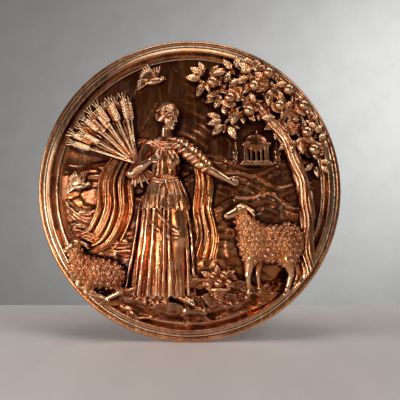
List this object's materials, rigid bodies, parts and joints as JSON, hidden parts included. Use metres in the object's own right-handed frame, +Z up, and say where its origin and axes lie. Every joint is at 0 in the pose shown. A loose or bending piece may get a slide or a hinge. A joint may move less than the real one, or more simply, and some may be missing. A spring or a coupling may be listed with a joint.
{
  "type": "copper relief plate",
  "caption": "Round wall plaque with a moulded rim and a pastoral scene in high relief, cast in one piece.",
  "frame": {"origin": "middle of the flat back, where the plate rests against the wall", "axes": "+Z up as it hangs, +Y out of the flat back into the wall, the relief faces -Y"},
  "size_m": [0.3, 0.0337, 0.3],
  "materials": {
    "copper": "patinated copper, polished on the raised forms and dark in the recesses"
  },
  "bodies": {
    "root": {"relief_plate": "copper"}
  },
  "joints": []
}
